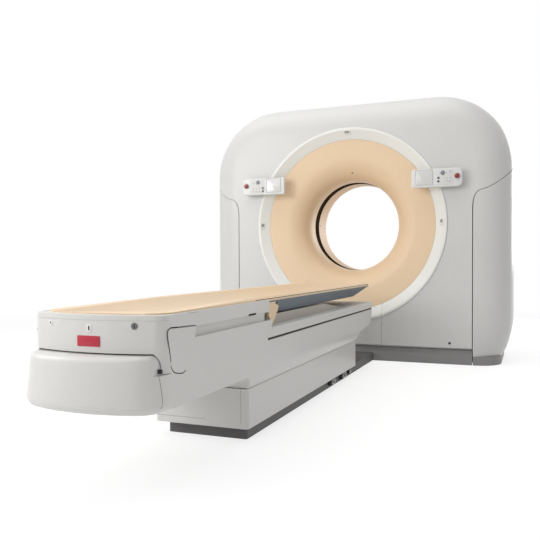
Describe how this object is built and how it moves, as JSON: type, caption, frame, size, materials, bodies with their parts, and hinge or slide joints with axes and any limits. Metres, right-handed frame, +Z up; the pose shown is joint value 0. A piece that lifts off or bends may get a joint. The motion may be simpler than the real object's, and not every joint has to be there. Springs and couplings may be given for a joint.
{
  "type": "ct scanner",
  "caption": "Computed tomography scanner: a tilting gantry with a round patient bore and hidden rotating x-ray assembly, and a couch that rises and slides its cradle top into the bore.",
  "frame": {"origin": "on the floor straight below the centre of the bore, in the scan plane", "axes": "+Z up, +Y along the bore from the couch towards the back of the gantry, +X to the right seen from the couch's foot end"},
  "size_m": [2.342, 4.146, 1.98],
  "materials": {
    "cover_white": "satin moulded cover, light warm grey-white",
    "side_white": "satin moulded side cover",
    "ring_white": "satin off-white ring",
    "funnel_cream": "soft cream moulding",
    "scan_film": "dark film over the scan gap",
    "couch_white": "satin couch cover",
    "table_cream": "cream laminate table top",
    "keel_grey": "dark blue-grey laminate underside",
    "bracket_cream": "cream moulding",
    "plinth_grey": "mid grey kick plate",
    "panel_white": "white keypad housing",
    "display_grey": "pale display window, switched off",
    "keypad_film": "membrane keypad film",
    "button_red": "red button",
    "key_grey": "grey round key",
    "laser_window": "pale light window",
    "plate_red": "plain red plate",
    "frame_steel": "powder-coated steel",
    "bearing_steel": "ground steel",
    "drum_aluminium": "machined aluminium",
    "box_grey": "painted housing",
    "belt_rubber": "toothed belt",
    "shroud_grey": "painted sheet steel"
  },
  "bodies": {
    "base": {"base_plate": "frame_steel", "front_plinth": "plinth_grey", "rear_plinth": "plinth_grey", "side_cover_left": "side_white", "side_cover_right": "side_white", "side_feet": "plinth_grey", "trunnion_post_left": "frame_steel", "trunnion_post_right": "frame_steel", "trunnion_bearings": "bearing_steel", "tilt_gearmotor": "box_grey", "couch_plinth": "plinth_grey", "couch_base_cover": "couch_white", "duct_cover": "plinth_grey", "column_post": "frame_steel"},
    "lift_lower_stage": {"column_lower_stage": "frame_steel", "shroud_lower": "shroud_grey"},
    "lift_upper_stage": {"column_upper_stage": "frame_steel", "shroud_upper": "shroud_grey"},
    "couch": {"lift_frame": "frame_steel", "upper_body_cover": "couch_white", "foot_end_cover": "couch_white", "foot_pod": "couch_white", "slide_rails": "bearing_steel", "slide_motor": "box_grey", "slide_belt": "belt_rubber", "red_plate": "plate_red"},
    "drive_pulley": {"drive_pulley": "drum_aluminium"},
    "idler_pulley": {"idler_pulley": "drum_aluminium"},
    "table": {"carriage_frame": "box_grey", "carriage_trim": "couch_white", "bracket_left": "bracket_cream", "bracket_right": "bracket_cream", "tabletop": "table_cream", "tabletop_keel": "keel_grey"},
    "gantry": {"gantry_frame": "frame_steel", "main_bearing": "bearing_steel", "front_cover": "cover_white", "lower_front_panel": "cover_white", "middle_shell": "cover_white", "rear_cover": "cover_white", "front_funnel": "funnel_cream", "rear_funnel": "funnel_cream", "scan_window": "scan_film", "funnel_ring": "ring_white", "laser_windows": "laser_window", "panel_left": "panel_white", "panel_right": "panel_white", "panel_displays": "display_grey", "panel_keypads": "keypad_film"},
    "rotor": {"rotor_drum": "drum_aluminium", "xray_tube": "box_grey", "collimator": "box_grey", "detector_arc": "box_grey", "generator": "box_grey", "counterweight": "frame_steel", "slip_ring": "drum_aluminium"},
    "estop_left": {"estop_left": "button_red"},
    "estop_right": {"estop_right": "button_red"},
    "round_key_left": {"round_key_left": "key_grey"},
    "round_key_right": {"round_key_right": "key_grey"}
  },
  "joints": [
    {"name": "couch_lift", "type": "slide", "parent": "base", "child": "couch", "axis": [0, 0, 1], "range_m": [0, 0.45]},
    {"name": "lower_stage_lift", "type": "slide", "parent": "base", "child": "lift_lower_stage", "axis": [0, 0, 1], "range_m": [0, 0.15]},
    {"name": "upper_stage_lift", "type": "slide", "parent": "base", "child": "lift_upper_stage", "axis": [0, 0, 1], "range_m": [0, 0.3]},
    {"name": "table_slide", "type": "slide", "parent": "couch", "child": "table", "axis": [0, 1, 0], "range_m": [0, 0.28]},
    {"name": "drive_pulley_spin", "type": "hinge", "parent": "couch", "child": "drive_pulley", "pos_m": [0, -3.335, 0.4465], "axis": [1, 0, 0], "continuous": true},
    {"name": "idler_pulley_spin", "type": "hinge", "parent": "couch", "child": "idler_pulley", "pos_m": [0, -0.69, 0.4465], "axis": [1, 0, 0], "continuous": true},
    {"name": "gantry_tilt", "type": "hinge", "parent": "base", "child": "gantry", "pos_m": [0, 0, 1.027], "axis": [1, 0, 0], "range_deg": [-10, 30]},
    {"name": "rotor_spin", "type": "hinge", "parent": "gantry", "child": "rotor", "pos_m": [0, 0, 1.027], "axis": [0, 1, 0], "continuous": true},
    {"name": "estop_left_press", "type": "slide", "parent": "gantry", "child": "estop_left", "axis": [0, 1, 0], "range_m": [0, 0.005], "stiffness_N_per_m": 1500, "springref_m": -0.002},
    {"name": "estop_right_press", "type": "slide", "parent": "gantry", "child": "estop_right", "axis": [0, 1, 0], "range_m": [0, 0.005], "stiffness_N_per_m": 1500, "springref_m": -0.002},
    {"name": "round_key_left_press", "type": "slide", "parent": "gantry", "child": "round_key_left", "axis": [0, 1, 0], "range_m": [0, 0.002], "stiffness_N_per_m": 1500, "springref_m": -0.002},
    {"name": "round_key_right_press", "type": "slide", "parent": "gantry", "child": "round_key_right", "axis": [0, 1, 0], "range_m": [0, 0.002], "stiffness_N_per_m": 1500, "springref_m": -0.002}
  ],
  "couplings": [
    {"joint": "lower_stage_lift", "follows": "couch_lift", "ratio": 0.33333},
    {"joint": "upper_stage_lift", "follows": "couch_lift", "ratio": 0.66667},
    {"joint": "drive_pulley_spin", "follows": "table_slide", "rad_per_m": -68.966},
    {"joint": "idler_pulley_spin", "follows": "table_slide", "rad_per_m": -68.966}
  ]
}
